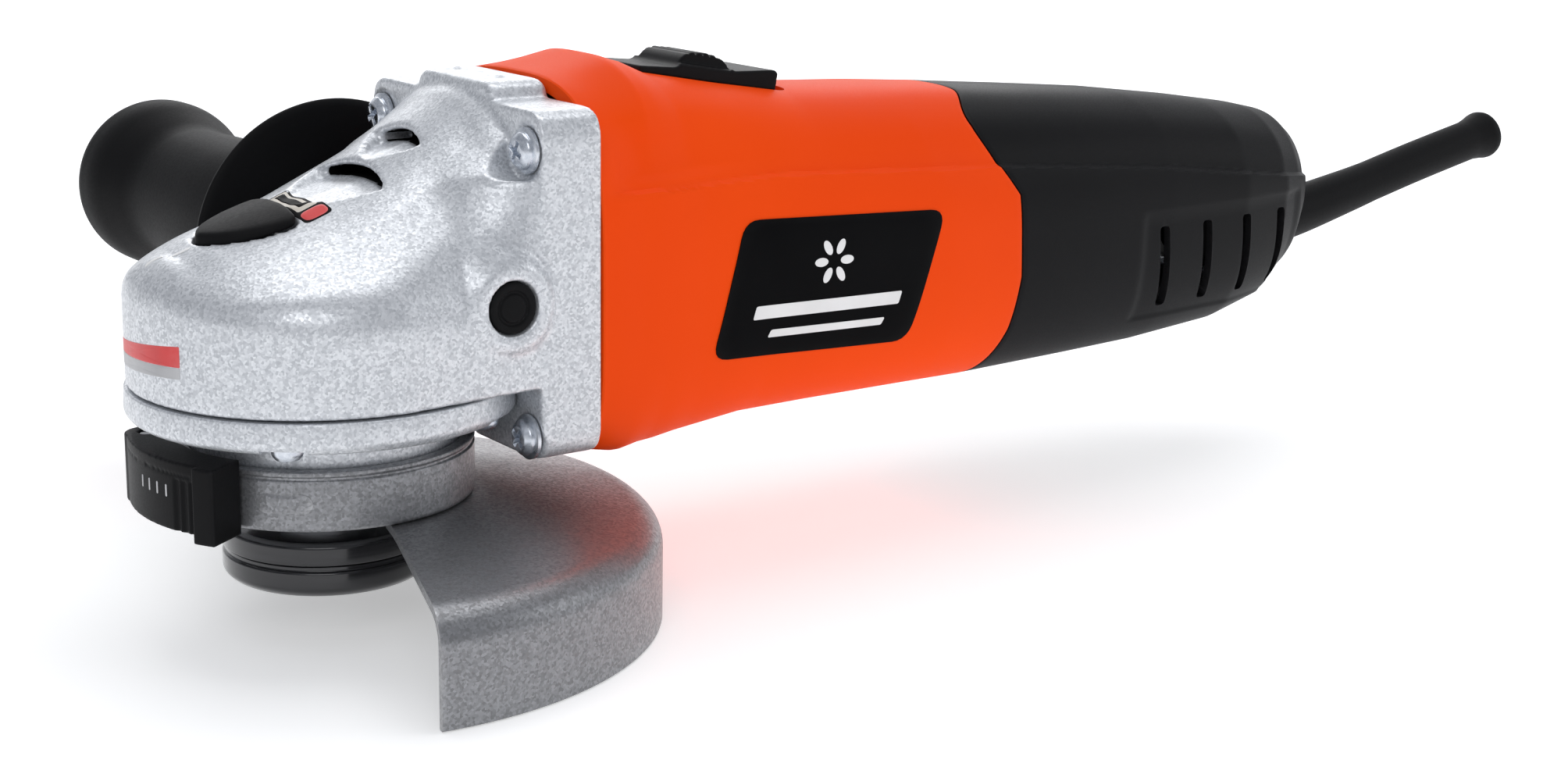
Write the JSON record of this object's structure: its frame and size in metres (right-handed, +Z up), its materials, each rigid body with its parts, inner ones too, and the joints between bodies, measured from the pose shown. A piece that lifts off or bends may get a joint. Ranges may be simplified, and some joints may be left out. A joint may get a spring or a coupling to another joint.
{
  "type": "angle grinder",
  "caption": "Corded angle grinder with alloy gear head, sheet wheel guard with quick lever, slide switch, side handle and barrel motor housing.",
  "frame": {"origin": "centre of the spindle's lower end face, on the spindle axis", "axes": "+Z up along the spindle, away from the wheel; +X to the rear along the motor; the side handle stands on the +Y side"},
  "size_m": [0.4033, 0.2107, 0.1116],
  "materials": {
    "cast_alloy": "cast, silver metallic lacquer",
    "guard_steel": "grey metallic fleck paint",
    "black_steel": "glossy black oxide",
    "steel": "turned steel",
    "zinc": "bright zinc plate",
    "orange_plastic": "fine moulded texture",
    "black_plastic": "satin moulded texture",
    "black_rubber": "matte rubber",
    "copper": "enamelled copper wire and copper bars",
    "carbon": "pressed graphite",
    "brass": "drawn brass and sintered bronze",
    "label": "gloss black plate"
  },
  "bodies": {
    "root": {"gear_housing": "cast_alloy", "bearing_cover": "cast_alloy", "front_armature_bearing": "steel", "rear_armature_bearing": "steel", "stator_core": "steel", "brush_spring_left": "steel", "brush_spring_right": "steel", "spindle_bearing": "steel", "lock_spring": "steel", "cover_screw_1": "zinc", "cover_screw_2": "zinc", "cover_screw_3": "zinc", "cover_screw_4": "zinc", "housing_screw_1": "zinc", "housing_screw_2": "zinc", "housing_screw_3": "zinc", "housing_screw_4": "zinc", "rear_cover_screw_1": "zinc", "rear_cover_screw_2": "zinc", "rear_cover_screw_3": "zinc", "handle_stud": "zinc", "motor_housing": "orange_plastic", "rear_cover_left": "black_plastic", "rear_cover_right": "black_plastic", "air_baffle": "black_plastic", "switch_body": "black_plastic", "cord_clamp": "black_plastic", "bearing_sleeve": "black_rubber", "handle_grip": "black_rubber", "handle_hole_plug": "black_rubber", "cord_sleeve": "black_rubber", "stator_coil_upper": "copper", "stator_coil_lower": "copper", "carbon_brush_left": "carbon", "carbon_brush_right": "carbon", "upper_spindle_bush": "brass", "brush_holder_left": "brass", "brush_holder_right": "brass", "label_plate": "label", "capacitor": "label"},
    "armature": {"armature_shaft": "steel", "armature_core": "steel", "armature_winding_front": "copper", "armature_winding_rear": "copper", "commutator": "copper", "fan": "black_plastic", "pinion_gear": "steel"},
    "spindle": {"spindle": "steel", "crown_gear": "steel", "inner_flange": "black_steel", "outer_flange": "black_steel"},
    "guard": {"guard_shell": "guard_steel", "clamp_band": "guard_steel", "lever_pin": "steel"},
    "lever": {"guard_lever": "black_plastic"},
    "lock": {"lock_button": "black_rubber", "lock_pin": "steel"},
    "slide": {"switch_slider": "black_plastic", "switch_link": "black_plastic"}
  },
  "joints": [
    {"name": "motor_spin", "type": "hinge", "parent": "root", "child": "armature", "pos_m": [0.094, 0, 0.0575], "axis": [1, 0, 0], "continuous": true},
    {"name": "spindle_spin", "type": "hinge", "parent": "root", "child": "spindle", "pos_m": [0, 0, 0.03], "axis": [0, 0, 1], "continuous": true},
    {"name": "guard_turn", "type": "hinge", "parent": "root", "child": "guard", "pos_m": [0, 0, 0.022], "axis": [0, 0, 1], "range_deg": [-65, 80]},
    {"name": "lever_open", "type": "hinge", "parent": "guard", "child": "lever", "pos_m": [-0.03195, 0.01163, 0.0234], "axis": [0, 0, -1], "range_deg": [0, 40]},
    {"name": "lock_press", "type": "slide", "parent": "root", "child": "lock", "axis": [0, 0, -1], "range_m": [0, 0.004], "stiffness_N_per_m": 900, "springref_m": -0.002, "deforming": ["lock_spring"]},
    {"name": "switch_slide", "type": "slide", "parent": "root", "child": "slide", "axis": [-0.9859, 0, 0.1676], "range_m": [0, 0.008]}
  ],
  "couplings": [
    {"joint": "spindle_spin", "follows": "motor_spin", "ratio": 0.27027}
  ]
}
